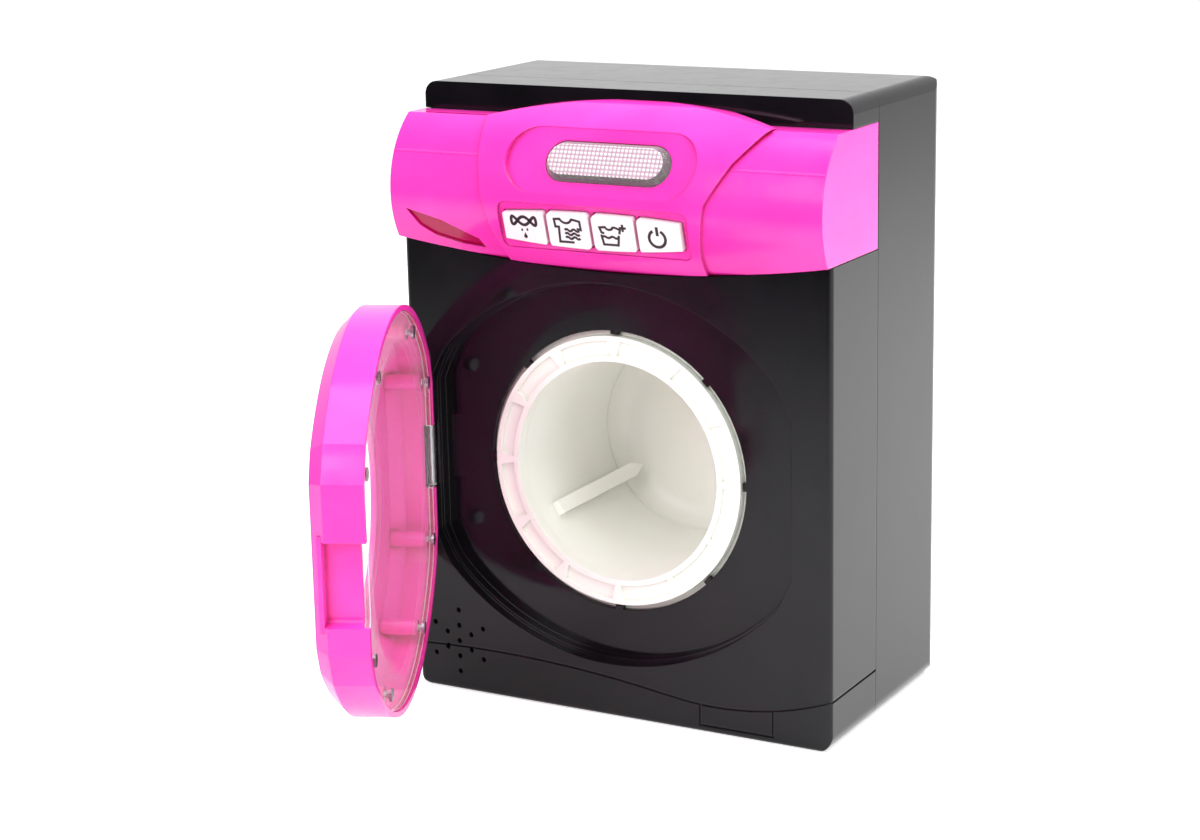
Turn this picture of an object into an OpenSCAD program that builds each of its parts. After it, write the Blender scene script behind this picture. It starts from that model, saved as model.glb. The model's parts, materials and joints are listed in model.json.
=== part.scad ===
// Toy washing machine: a two-part glossy casing with a bulging control panel, a front door that
// opens on a hinge pin, and a drum that a small motor turns through a train of spur gears.
// X runs to the right, Y to the back and Z up. The origin is the middle of the underside.

/* [Casing] */
// Width of the casing
body_w = 174; // [172:1:200]
// Depth of the casing from the lower front to the back
body_d = 100; // [98:1:120]
// Height of the casing
body_h = 232; // [228:1:250]
// Wall thickness of both shells
wall = 2.2; // [1.8:0.1:2.6]
// Depth of the rear shell, from the split to the back
rear_d = 60; // [58:0.5:61]
// How far the cap above the panel stands back from the lower front
cap_setback = 18; // [16:0.5:20]
// Height of the cap above the panel
cap_h = 10; // [8:0.5:12]
// Radius of the edges at the back
rear_r = 7; // [4:0.5:9]
// Radius of the edges at the front
front_r = 2; // [1.5:0.5:2.5]

/* [Door recess] */
// Sideways place of the door and the drum
door_x = -3; // [-4:0.5:-1]
// Height of the door's and the drum's centre
door_z = 92.5; // [91:0.5:93]
// Half the width of the recess
door_half_w = 74.5; // [73:0.5:75.5]
// Half the height of the recess
door_half_h = 72; // [70:0.5:72.5]
// Radius of the recess's upper and lower arcs
door_arc_r = 92; // [88:0.5:98]
// How far the radius that trims the recess's corners exceeds half its width
door_corner_out = 5.5; // [4.5:0.25:6.5]
// Depth of the recess
recess_depth = 8.5; // [7.5:0.5:9]
// Width of the ledge halfway down the recess
ledge_w = 1.2; // [0.8:0.1:1.6]
// Gap between the door and the recess
door_gap = 0.6; // [0.4:0.1:1]

/* [Door] */
// Thickness of the door ring from its bevelled front to its inner edge
ring_t = 19; // [16:0.5:20]
// How far the ring's inner edge reaches into the recess
ring_in = 4; // [3:0.25:4.25]
// Bevel round the ring's front
ring_bevel = 5; // [3:0.5:6]
// Wall thickness of the ring
ring_wall = 2; // [1.6:0.1:2.4]
// Radius of the clear window
window_r = 38; // [34:0.5:42]
// Radius of the liner's dish where it opens
dish_r = 60; // [57:0.5:61]
// Wall thickness of the clear liner
liner_t = 1.8; // [1.4:0.1:2]
// Height of the finger notch
notch_h = 29; // [24:0.5:32]
// Depth of the finger notch, sideways
notch_in = 6; // [4:0.5:7]
// Height of the hinge knuckle
knuckle_h = 24; // [18:1:30]
// Radius of the hinge pin
hinge_pin_r = 1; // [0.8:0.05:1.1]
// How far the hinge's axis lies outside the recess's edge
hinge_out = 2.2; // [2.1:0.05:2.3]
// Depth of the hinge's axis behind the front
hinge_in = 2; // [1.8:0.05:2.1]
// Angle between the closed door and the photographed one
door_open = 66; // [60:1:68]

/* [Drum] */
// Radius of the hole in the recess floor
hole_r = 53; // [52.5:0.5:54]
// Outer radius of the drum's front ring
rim_r = 51; // [50:0.5:51.2]
// Radius of the drum's mouth
mouth_r = 41.5; // [40:0.5:42.5]
// Radius of the drum's inside at the back
drum_back_r = 38.5; // [37:0.5:39.5]
// Wall thickness of the drum
drum_wall = 1.6; // [1.2:0.1:1.8]
// Radius of the corner inside the drum's back
drum_corner_r = 8; // [5:0.5:10]
// Number of paddles
paddle_count = 3; // [2:1:4]
// Height of a paddle at its back
paddle_h = 9; // [6:0.5:10]
// Height of a paddle at its front
paddle_low = 3.5; // [2.5:0.5:5]
// Width of a paddle
paddle_w = 5.5; // [4.5:0.25:7]
// Number of pockets in the drum's front ring
rim_pockets = 12; // [8:1:16]

/* [Gears] */
// Tooth size of every gear, as a module
gear_m = 0.7; // [0.68:0.01:0.72]
// Teeth of the pinions
pinion_z = 12; // [12:1:13]
// Teeth of the two large idler wheels
idler_z = 42; // [41:1:43]
// Teeth of the drum's wheel
drum_z = 52; // [51:1:53]
// Thickness of a gear
gear_t = 2.6; // [2.2:0.1:2.8]
// Free play between meshing teeth
backlash = 0.16; // [0.1:0.01:0.2]
// Radius of the drum's shaft
shaft_r = 2.5; // [2:0.1:3]
// Radius of the idler pins
pin_r = 1.45; // [1.2:0.05:1.6]
// Radial clearance of a turning fit
running = 0.05; // [0.03:0.01:0.08]
// Slope of the gear train, downwards from level
train_angle = 60; // [58:1:62]

/* [Control panel] */
// Radius of the panel's bulge
panel_r = 34; // [33:0.5:36]
// How far the bulge's centre lies below the cap
panel_axis_drop = 28; // [27:0.5:29]
// How far the bulge stands in front of the casing
panel_bulge = 8; // [6:0.5:9]
// Height of the panel at its ends
panel_end_h = 45.5; // [44.5:0.5:47]
// How far the lower edge dips in the middle
panel_dip = 8; // [6:0.5:9]
// Thickness of the raised centre plate
plate_t = 1.4; // [1:0.1:1.8]
// Wall thickness of the panel
panel_wall = 2.2; // [1.8:0.1:2.4]
// Sideways place of the raised plate and the lens's recess
panel_x = 0; // [-1:0.5:1]

/* [Buttons] */
// Sideways place of the row of buttons
button_x = -2; // [-3:0.5:0]
// Distance between two buttons
button_pitch = 18.2; // [18:0.1:19]
// Width of a button
button_w = 17; // [15.5:0.1:17.2]
// Height of a button
button_h = 13.6; // [12:0.2:14]
// Travel of a button
button_travel = 1.2; // [0.8:0.1:1.4]
// Gap round a button
button_gap = 0.35; // [0.25:0.05:0.4]

/* [Lens] */
// Width of the lens
lens_w = 50; // [44:0.5:52]
// Height of the lens
lens_h = 15; // [12:0.5:16]
// Sideways place of the lens in its recess
lens_x = 2.5; // [0:0.5:3]
// How far the lens stands proud of its recess
lens_rise = 3; // [2:0.25:3.5]

/* [Speaker] */
// Distance of the speaker's centre from the casing's left side
speaker_x = 18.5; // [17.5:0.5:20]
// Height of the speaker's centre
speaker_z = 20; // [19:0.5:20.5]
// Radius of the speaker
speaker_r = 14; // [13.5:0.1:14.2]
// Radius of a sound hole
sound_hole_r = 1; // [0.7:0.1:1.3]
// Radius of the outer ring of sound holes
sound_ring_r = 12.3; // [11:0.1:12.6]

/* [Batteries] */
// Radius of a battery
cell_r = 7.25; // [7.1:0.05:7.25]
// Length of a battery
cell_l = 50.5; // [49.5:0.1:50.5]
// Number of batteries
cell_count = 3; // [2:1:3]

/* [Screws] */
// Radius of a casing screw's shank
screw_r = 1.35; // [1.2:0.05:1.5]
// Radius of a casing screw's head
head_r = 2.8; // [2.4:0.1:3]

/* [Hidden] */

$fn = 64;
eps = 0.02;
half_w = body_w / 2;
front_y = -body_d / 2;
back_y = body_d / 2;
split_y = back_y - rear_d;
cap_y = front_y + cap_setback;
cap_z = body_h - cap_h;
panel_axis_z = cap_z - panel_axis_drop;
panel_z0 = cap_z - panel_end_h;
door_arc_off = door_arc_r - door_half_h;
door_corner_r = door_half_w + door_corner_out;
shell_gap = 0.25;
casing = "#151417";
pink = "#ff46c8";
ivory = "#f2efe8";
steel = "#b9bcc2";

// Rounding of the casing as seen from the front
side_r = 5;
base_r = 6;

// The panel's bulge is a cylinder along X
bulge_y = front_y - panel_bulge + panel_r;
dip_r = (half_w * half_w + panel_dip * panel_dip) / (2 * panel_dip);
bulkhead_y = cap_y + 2;
face_up = 26;
tray_down = 15.5;
tray_w = 4 * button_pitch + 4;
tray_h = button_h + 4.4;
tray_depth = 1.6;
slot_depth = 0.9;
plate_arch_r = 260;
plate_arch_x = 5;
plate_arch_z = cap_z + 6.6;
panel_screw_x = half_w - 27;
panel_screw_z = [panel_z0 + 11.5, cap_z - 8];
button_arc_low = 300;
button_arc_high = 420;
bowl_w = 77;
bowl_h = 25;
bowl_depth = 2.4;

// Depths of the drum's front, counted from the recess floor
floor_y = front_y + recess_depth;
floor_t = 2;
rim_y = floor_y - 0.8;
flange_y = floor_y + floor_t + 0.8;
flange_t = 1.8;
flange_r = hole_r + 2.8;
drum_y = flange_y + flange_t;

// Gear train, measured along its own slope from the drum's axis
mesh_drum = gear_m * (pinion_z + drum_z) / 2;
mesh_idler = gear_m * (pinion_z + idler_z) / 2;
idler_b_x = mesh_drum;
idler_a_x = mesh_drum + mesh_idler;
motor_x = mesh_drum + 2 * mesh_idler;

// Depths of the gear train and of the drum's back, counted forwards from the rear wall
plate_gear_t = 1.5;
layer_gap = 0.4;
gear_head_t = 1.2;
train_back_y = back_y - wall - 1.1 - gear_head_t - plate_gear_t;
layer3_y = train_back_y - layer_gap - gear_t;
layer2_y = layer3_y - layer_gap - gear_t;
layer1_y = layer2_y - layer_gap - gear_t;
train_front_y = layer1_y - layer_gap - plate_gear_t;
drum_end_y = train_front_y - 1.8;
drum_back_y = drum_end_y - drum_wall;
shaft_seat = 0.8;

// Paddles: flat bars that rise towards the back and end in a point
paddle_y = front_y + 22;
paddle_end_y = drum_back_y - 4;
paddle_point = 7;
paddle_start = -3;

// Door, in its closed place
ring_front_y = front_y + ring_in - ring_t;
ring_back_y = front_y + ring_in;
ring_half_w = door_half_w - door_gap;
liner_y = ring_back_y - 1 - liner_t;
window_y = ring_front_y + ring_wall + 0.5;
knuckle_r = 1.7;
knuckle_gap = 0.25;
hinge_x = door_x - door_half_w - hinge_out;
hinge_y = front_y + hinge_in;
pin_seat = 5;
hinge_bevel = 0.8;
hinge_bevel_z = 40;
notch_z = door_z - 5;
liner_gap = 0.3;
notch_r = 2;
door_boss_in = 8;
door_boss_angles = [25, 57, 123, 155, 205, 237, 303, 332];

// Casing screws: two low, two at the waist and two high
screw_inset = 7.5;
screw_spots = [
    [-half_w + screw_inset + 4.5, 42], [half_w - screw_inset - 2, 12],
    [-half_w + screw_inset, panel_z0 - 18.5], [half_w - screw_inset, panel_z0 - 18.5],
    [-half_w + screw_inset + 4, body_h - 18], [half_w - screw_inset - 4, body_h - 18]
];
boss_r = 4.8;
well_r = head_r + 0.5;
well_y = split_y + 17;

// Batteries lie side by side along X over the underside
cell_gap = 0.5;
box_t = 1.4;
box_l = cell_l + 5 + 2 * box_t;
box_d = cell_count * (2 * cell_r + cell_gap) + cell_gap + 2 * box_t;
box_y = back_y - rear_r - 0.5 - box_d;
box_h = 2 * cell_r + 0.8 + box_t;
cover_t = 1.1;
cover_gap = 0.3;
cover_screw_x = box_l / 2 + 5;
cover_screw_y = box_y + box_d / 2;
cell_z = cover_t + 0.5 + cell_r;

// Circuit board on four posts
board_x = [-half_w + 10, -half_w + 46];
board_y = [back_y - 45, back_y - 12];
board_z = 7;

// Motor and gearbox
gearbox_posts = [[-21, 17], [-21, -17], [idler_a_x, 19], [idler_a_x, -19]];
gearbox_back_x = 26;
gearbox_half_w = 23;
gearbox_end = 13;
motor_shaft_r = 1;
motor_l = 25;
motor_y = train_front_y - motor_l;
bush_r = 4;
pressure = 25;

// Key mat, as deep as a pressed button pushes it
mat_y = 6 + button_travel + 0.1;

// Engraved line low on the front: a wide hill that runs into a dip and climbs to the right
// corner. Below the dip lies the outline of a filter flap.
groove = 0.65;
groove_w = 0.9;
hill = [-55, 18.2, 494];
dip = [41, 10.7, 120];
hill_end = 22;
groove_end_z = 19.2;
flap_x = [34.3, 63.8];
flap_z = [2.5, 10.8, 12.4];

// Rectangle with its four corners rounded by their own radii, in the order
// low left, low right, high right, high left
module rounded(x0, y0, x1, y1, r) {
    difference() {
        translate([x0, y0]) square([x1 - x0, y1 - y0]);
        for (c = [[x0, y0, 1, 1, r[0]], [x1, y0, -1, 1, r[1]], [x1, y1, -1, -1, r[2]], [x0, y1, 1, -1, r[3]]])
            if (c[4] > 0) difference() {
                translate([c[0] - (c[2] < 0 ? c[4] : 1), c[1] - (c[3] < 0 ? c[4] : 1)]) square(c[4] + 1);
                translate([c[0] + c[2] * c[4], c[1] + c[3] * c[4]]) circle(c[4]);
            }
    }
}

// A front-view outline pushed from y0 to y1
module along_y(y0, y1) {
    translate([0, y1, 0]) rotate([90, 0, 0]) linear_extrude(y1 - y0) children();
}

// A side-view outline, drawn as Y and Z, pushed from x0 to x1
module along_x(x0, x1) {
    translate([x0, 0, 0]) rotate([90, 0, 90]) linear_extrude(x1 - x0) children();
}

module cyl_y(r, y0, y1) {
    translate([0, y0, 0]) rotate([-90, 0, 0]) cylinder(r = r, h = y1 - y0);
}

module cone_y(r0, r1, y0, y1) {
    translate([0, y0, 0]) rotate([-90, 0, 0]) cylinder(r1 = r0, r2 = r1, h = y1 - y0);
}

module box(x0, x1, y0, y1, z0, z1) {
    translate([x0, y0, z0]) cube([x1 - x0, y1 - y0, z1 - z0]);
}

// The whole casing as one rounded block, drawn in by an inset
module casing_block(inset) {
    r_back = max(rear_r - inset, 0.5);
    r_front = max(front_r - inset, 0.5);
    r_side = max(side_r - inset, 0.5);
    r_base = max(base_r - inset, 0.5);
    intersection() {
        linear_extrude(body_h)
            rounded(-half_w + inset, front_y + inset, half_w - inset, back_y - inset,
                [r_front, r_front, r_back, r_back]);
        along_y(front_y, back_y)
            rounded(-half_w + inset, inset, half_w - inset, body_h - inset,
                [r_base, r_base, r_side, r_side]);
        along_x(-half_w, half_w)
            rounded(front_y + inset, inset, back_y - inset, body_h - inset,
                [r_front, r_back, r_back, r_front]);
    }
}

// Everything above the lower edge of the control panel, which dips in the middle
module above_dip(y0, y1, rise) {
    translate([0, 0, panel_z0 - panel_dip + rise + dip_r]) cyl_y(dip_r, y0, y1, $fn = 720);
}

// Outline of the recess and the door: two wide arcs, two flats and trimmed corners
module door_outline(inset) {
    intersection() {
        circle(door_corner_r - inset, $fn = 128);
        translate([0, -door_arc_off]) circle(door_arc_r - inset, $fn = 128);
        translate([0, door_arc_off]) circle(door_arc_r - inset, $fn = 128);
        square([2 * (door_half_w - inset), 2 * door_arc_r], center = true);
    }
}

// A solid of that outline whose front edge is bevelled
module door_block(inset, y0, y1, bevel) {
    intersection() {
        intersection_for (c = [[0, door_corner_r], [-door_arc_off, door_arc_r], [door_arc_off, door_arc_r]])
            translate([0, 0, c[0]]) union() {
                cone_y(c[1] - inset - bevel, c[1] - inset, y0, y0 + bevel, $fn = 128);
                cyl_y(c[1] - inset, y0 + bevel, y1, $fn = 128);
            }
        linear_extrude(2 * door_arc_r, center = true)
            polygon([
                [-door_half_w + inset + bevel, y0], [door_half_w - inset - bevel, y0],
                [door_half_w - inset, y0 + bevel], [door_half_w - inset, y1],
                [-door_half_w + inset, y1], [-door_half_w + inset, y0 + bevel]
            ]);
    }
}

module at_door() {
    translate([door_x, 0, door_z]) children();
}

// Turns the closed door about its hinge into the photographed place
module opened() {
    translate([hinge_x, hinge_y, 0]) rotate([0, 0, -door_open]) translate([-hinge_x, -hinge_y, 0]) children();
}

module ring_of(count, start = 0) {
    for (i = [0 : count - 1]) rotate([0, start + i * 360 / count, 0]) children();
}

module sound_holes() {
    translate([-half_w + speaker_x, 0, speaker_z]) {
        cyl_y(sound_hole_r, front_y - 1, front_y + wall + 1, $fn = 24);
        for (ring = [0.5, 1], i = [0 : 5])
            rotate([0, i * 60, 0]) translate([0, 0, sound_ring_r * ring])
                cyl_y(sound_hole_r, front_y - 1, front_y + wall + 1, $fn = 24);
    }
}

module screw_bosses(y0, y1) {
    for (s = screw_spots) translate([s[0], 0, s[1]]) cyl_y(boss_r, y0, y1);
}

// A thin arc whose top lies at a given place, seen from the front
module thin_arc(top, side) {
    translate([top[0], top[1] - side * top[2]]) difference() {
        circle(top[2] + groove_w / 2, $fn = 720);
        circle(top[2] - groove_w / 2, $fn = 720);
    }
}

module engravings() {
    along_y(front_y - 1, front_y + groove) {
        intersection() {
            thin_arc(hill, 1);
            translate([-half_w + front_r, 8]) square([hill_end + half_w - front_r, 20]);
        }
        intersection() {
            thin_arc(dip, -1);
            translate([hill_end, 8]) square([half_w, 20]);
        }
    }
    // The line runs on round the right corner to the split
    box(half_w - groove, half_w + 1, front_y + groove, split_y + 1,
        groove_end_z - groove_w / 2, groove_end_z + groove_w / 2);
    box(flap_x[0], flap_x[0] + groove_w, front_y - 1, front_y + groove, flap_z[0], flap_z[1]);
    box(flap_x[1], flap_x[1] + groove_w, front_y - 1, front_y + groove, flap_z[0], flap_z[2]);
    box(flap_x[0], flap_x[1], front_y - 1, front_y + groove, flap_z[0], flap_z[0] + groove_w);
}

// Block beside the recess that holds the hinge pin above and below the knuckle
module hinge_block() {
    reach = knuckle_h / 2 + pin_seat + 2;
    box(-half_w + wall - 0.5, hinge_x + hinge_out - 0.5, front_y + wall - 0.5, hinge_y + 4, door_z - reach, door_z + reach);
}

module hinge_pocket() {
    reach = knuckle_r + knuckle_gap;
    z = knuckle_h / 2 + knuckle_gap;
    box(hinge_x - reach, hinge_x + hinge_out + 1, front_y - 1, hinge_y + reach, door_z - z, door_z + z);
    translate([hinge_x, hinge_y, door_z])
        cylinder(r = hinge_pin_r, h = knuckle_h + 2 * pin_seat, center = true, $fn = 32);
}

module front_shell() {
    inner = panel_wall + shell_gap;
    color(casing) difference() {
        union() {
            difference() {
                casing_block(0);
                difference() {
                    casing_block(wall);
                    at_door() along_y(front_y, floor_y + floor_t) door_outline(-2);
                    box(-half_w, half_w, bulkhead_y - 4, bulkhead_y, panel_z0 - 14, body_h);
                }
                box(-half_w - 1, half_w + 1, front_y - 1, cap_y, cap_z, body_h + 1);
                // The belt that the control panel covers
                difference() {
                    intersection() {
                        above_dip(front_y - 1, split_y + 1, 0);
                        box(-half_w - 1, half_w + 1, front_y - 1, split_y + 1, 0, cap_z);
                    }
                    box(-half_w + inner, half_w - inner, bulkhead_y - wall, back_y, panel_z0 - 14, cap_z + 1);
                }
            }
            intersection() {
                casing_block(0.4);
                difference() {
                    screw_bosses(bulkhead_y - 1, split_y);
                    box(-half_w, half_w, front_y, bulkhead_y - wall, panel_z0 - 8, cap_z);
                }
            }
            intersection() {
                casing_block(0.4);
                union() {
                    for (i = [0 : 3]) translate([screw_spots[i][0], 0, screw_spots[i][1]])
                        cyl_y(boss_r, front_y + 1, split_y);
                    hinge_block();
                }
            }
            // Collar that centres the speaker
            translate([-half_w + speaker_x, 0, speaker_z]) difference() {
                intersection() {
                    cyl_y(speaker_r + 1.6, front_y + 1, front_y + wall + 4);
                    box(-speaker_x + 1, 40, front_y, split_y, -speaker_z + 1, 40);
                }
                cyl_y(speaker_r + 0.2, front_y, front_y + wall + 5);
            }
        }
        box(-half_w - 1, half_w + 1, split_y, back_y + 1, -1, body_h + 1);
        hinge_pocket();
        // Bevel that the door's flat side swings past
        translate([door_x - door_half_w, front_y, door_z]) linear_extrude(2 * hinge_bevel_z, center = true)
            polygon([[-hinge_bevel, -0.1], [0.1, -0.1], [0.1, hinge_bevel]]);
        // Recess with its ledge and the drum's hole
        at_door() {
            along_y(front_y - 1, front_y + ring_in + 0.5) door_outline(0);
            along_y(front_y + ring_in, floor_y) door_outline(ledge_w);
            difference() {
                cyl_y(hole_r, floor_y - 1, floor_y + floor_t + 1, $fn = 128);
                ring_of(8) box(-1.6, 1.6, floor_y, floor_y + floor_t, hole_r - 1.4, hole_r + 1);
            }
        }
        for (s = screw_spots) translate([s[0], 0, s[1]]) cyl_y(screw_r + 0.05, split_y - 14, split_y + 1, $fn = 32);
        sound_holes();
        engravings();
        at_panel_screws() cyl_y(screw_r + 0.2, bulkhead_y - 5, bulkhead_y + 1, $fn = 32);
    }
}

module at_panel_screws() {
    for (x = [-panel_screw_x, panel_screw_x], z = panel_screw_z) translate([x, 0, z]) children();
}

module rear_shell() {
    color(casing) difference() {
        union() {
            difference() {
                casing_block(0);
                casing_block(wall);
            }
            intersection() {
                casing_block(0.4);
                screw_bosses(split_y, back_y);
            }
            at_train() for (p = gearbox_posts) translate([p[0], 0, p[1]]) cyl_y(3, train_back_y + plate_gear_t, back_y - 0.5);
            for (x = board_x, y = board_y) translate([x, y, wall - 0.5]) cylinder(r = 2.6, h = board_z - wall + 0.5);
            // Post for the battery cover's screw
            translate([cover_screw_x, cover_screw_y, wall - 0.5]) cylinder(r = 3.2, h = 10);
        }
        box(-half_w - 1, half_w + 1, front_y - 1, split_y + shell_gap, -1, body_h + 1);
        for (s = screw_spots) translate([s[0], 0, s[1]]) {
            cyl_y(screw_r + 0.2, split_y - 1, well_y + 1, $fn = 32);
            cyl_y(well_r, well_y, back_y + 1, $fn = 32);
        }
        at_train() for (p = gearbox_posts) translate([p[0], 0, p[1]]) cyl_y(1, train_back_y, back_y - 2, $fn = 24);
        for (x = board_x, y = board_y) translate([x, y, board_z - 4]) cylinder(r = 1, h = 5, $fn = 24);
        // Battery opening with the lip that the cover rests on
        box(-box_l / 2 + box_t, box_l / 2 - box_t, box_y + box_t, box_y + box_d - box_t, -1, wall + 1);
        box(-box_l / 2 - 1, box_l / 2 + 10, box_y + box_t - 1.5, box_y + box_d - box_t + 1.5, -1, cover_t + 0.1);
        translate([cover_screw_x, cover_screw_y, -1]) cylinder(r = 1, h = 9, $fn = 24);
    }
}

// Places parts square to the bulge. Angles are read from its centre; positive looks up.
module on_bulge(tilt) {
    translate([panel_x, bulge_y, panel_axis_z]) rotate([-tilt, 0, 0]) translate([0, -panel_r, 0]) children();
}

// Place of the button tray
module at_tray() {
    translate([button_x - panel_x, 0, 0]) on_bulge(-tray_down) children();
}

module stadium(w, h) {
    rounded(-w / 2, -h / 2, w / 2, h / 2, [1, 1, 1, 1] * (h / 2 - 0.01));
}

// Side view of the panel: bulging front, flat top and straight wings
module panel_profile(r) {
    intersection() {
        union() {
            translate([bulge_y, panel_axis_z]) circle(r, $fn = 128);
            translate([bulge_y, panel_axis_z - r]) square([body_d, 2 * r]);
        }
        translate([front_y - 20, panel_z0 - 20]) square([split_y - front_y + 20, 100]);
    }
}

// Raised plate seen from the front, with Z read from the cap's lower edge
module plate_outline() {
    intersection() {
        polygon([
            [-54, 12], [-54, 1.5], [-51.6, 0], [-47.2, -27], [-40.8, -50], [-39, -62], [39.5, -62],
            [39.7, -44], [42.4, -25.4], [51.6, -11], [60.6, -1], [66.7, 3.2], [66.7, 12]
        ]);
        translate([plate_arch_x, plate_arch_z - cap_z - plate_arch_r]) circle(plate_arch_r, $fn = 720);
    }
}

// Curved wedge low in the left wing, seen from the front
module wing_slot() {
    translate([0, cap_z]) polygon([
        [-80.6, -33.9], [-66, -37.6], [-51.6, -43.9], [-49.8, -47.4], [-60, -46.3], [-69.9, -43.7],
        [-75.9, -40.1]
    ]);
}

module button_outline(i, grow) {
    intersection() {
        translate([(i - 1.5) * button_pitch, 0])
            rounded(-button_w / 2 - grow, -button_h / 2 - grow, button_w / 2 + grow, button_h / 2 + grow,
                [2, 2, 2, 2]);
        translate([0, button_arc_low - button_h / 2 - grow]) circle(button_arc_low, $fn = 720);
        translate([0, -button_arc_high + button_h / 2 + grow]) circle(button_arc_high, $fn = 720);
    }
}

module control_panel() {
    color(pink) difference() {
        union() {
            difference() {
                intersection() {
                    along_x(-half_w, half_w) panel_profile(panel_r);
                    above_dip(front_y - 20, split_y, shell_gap);
                    box(-half_w, half_w, front_y - 20, split_y - shell_gap, 0, cap_z - shell_gap);
                }
                difference() {
                    along_x(-half_w + panel_wall, half_w - panel_wall) panel_profile(panel_r - panel_wall);
                    box(-half_w, half_w, front_y - 20, bulkhead_y - wall - shell_gap,
                        cap_z - shell_gap - panel_wall, body_h);
                }
            }
            // Raised centre plate
            intersection() {
                along_x(-half_w, half_w) panel_profile(panel_r + plate_t);
                above_dip(front_y - 20, split_y, shell_gap);
                box(-half_w, half_w, front_y - 20, cap_y - shell_gap, 0, body_h);
                along_y(front_y - 20, cap_y) translate([panel_x, cap_z]) plate_outline();
                difference() {
                    box(-half_w, half_w, front_y - 20, cap_y, 0, body_h);
                    along_x(-half_w, half_w) panel_profile(panel_r - 1);
                }
            }
            // Posts that carry the switch board
            for (side = [-1, 1]) at_tray() translate([side * (tray_w / 2 + 1.4), 0, 0])
                cyl_y(1.6, 1.5, mat_y + 2.58, $fn = 32);
            intersection() {
                at_panel_screws() cyl_y(3.4, front_y - 10, bulkhead_y - wall - shell_gap, $fn = 32);
                along_x(-half_w, half_w) panel_profile(panel_r - 0.5);
            }
        }
        on_bulge(face_up) {
            along_y(-6, bowl_depth - plate_t) stadium(bowl_w, bowl_h);
            along_y(-5, 6) translate([lens_x, 0]) stadium(lens_w + 0.4, lens_h + 0.4);
        }
        at_tray() {
            along_y(-5, tray_depth - plate_t)
                rounded(-tray_w / 2, -tray_h / 2, tray_w / 2, tray_h / 2, [3, 3, 3, 3]);
            for (i = [0 : 3]) along_y(-5, 6) button_outline(i, button_gap);
        }
        at_panel_screws() cyl_y(screw_r, bulkhead_y - 15, bulkhead_y, $fn = 32);
        difference() {
            along_y(front_y - 20, cap_y) wing_slot();
            along_x(-half_w, half_w) panel_profile(panel_r - slot_depth);
        }
    }
}

module lens() {
    color([0.93, 0.95, 1, 0.6]) on_bulge(face_up) translate([lens_x, 0, 0]) {
        along_y(bowl_depth - plate_t - lens_rise, bowl_depth - plate_t + 3) stadium(lens_w, lens_h);
        along_y(bowl_depth - plate_t + 3, bowl_depth - plate_t + 4) stadium(lens_w + 4, lens_h + 4);
    }
}

module lamp_board() {
    y0 = bowl_depth - plate_t + 4;
    color("#1f6b3a") on_bulge(face_up) translate([lens_x, 0, 0]) {
        along_y(y0 + 3, y0 + 4.4) translate([0, 2]) stadium(lens_w + 2, lens_h - 3);
        for (x = [-14, 0, 14]) translate([x, 0, 2]) cyl_y(2.4, y0 + 0.3, y0 + 3, $fn = 32);
    }
}

module button(i) {
    color("#f7f6f4") at_tray() {
        along_y(-plate_t - 0.6, 2.6) button_outline(i, 0);
        along_y(2.6, 3.8) intersection() {
            button_outline(i, 0.35);
            translate([(i - 1.5) * button_pitch, 0]) square([button_pitch - 0.4, tray_h], center = true);
        }
        translate([(i - 1.5) * button_pitch, 0, 0]) cyl_y(2, 3.8, 6, $fn = 32);
    }
}

module button_towel() { button(0); }
module button_shirt() { button(1); }
module button_tub() { button(2); }
module button_power() { button(3); }

module key_mat() {
    color("#8d8f94") at_tray() {
        along_y(mat_y + 1.6, mat_y + 2.6) square([tray_w, tray_h], center = true);
        for (i = [0 : 3]) translate([(i - 1.5) * button_pitch, 0, 0]) cone_y(2.6, 4.6, mat_y, mat_y + 1.6, $fn = 32);
    }
}

module switch_board() {
    color("#1f6b3a") at_tray() along_y(mat_y + 2.6, mat_y + 4.2)
        square([tray_w + 6, tray_h], center = true);
}

// A screw along Y with its head on the far side of head_y from its tip
module screw_y(head_y, tip_y) {
    head = head_y > tip_y ? 1.6 : -1.6;
    cyl_y(head_r, min(head_y, head_y + head), max(head_y, head_y + head), $fn = 24);
    cyl_y(screw_r, min(head_y, tip_y), max(head_y, tip_y), $fn = 24);
}

module panel_screws() {
    color(steel) at_panel_screws() screw_y(bulkhead_y, bulkhead_y - 12);
}

// Distance from the door's centre to the recess's outline, along an angle
function edge_at(a) = min(
    door_corner_r,
    door_half_w / max(abs(cos(a)), 0.01),
    sqrt(pow(door_arc_r, 2) - pow(door_arc_off * cos(a), 2)) - door_arc_off * abs(sin(a))
);

module at_door_bosses() {
    for (a = door_boss_angles)
        translate([(edge_at(a) - door_boss_in) * cos(a), 0, (edge_at(a) - door_boss_in) * sin(a)]) children();
}

// Finger notch seen from the front, open towards the door's free side
module notch_outline(grow) {
    translate([0, notch_z - door_z])
        rounded(ring_half_w - notch_in - grow, -notch_h / 2 - grow, ring_half_w + 3, notch_h / 2 + grow,
            [notch_r + grow, 0, 0, notch_r + grow]);
}

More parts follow.
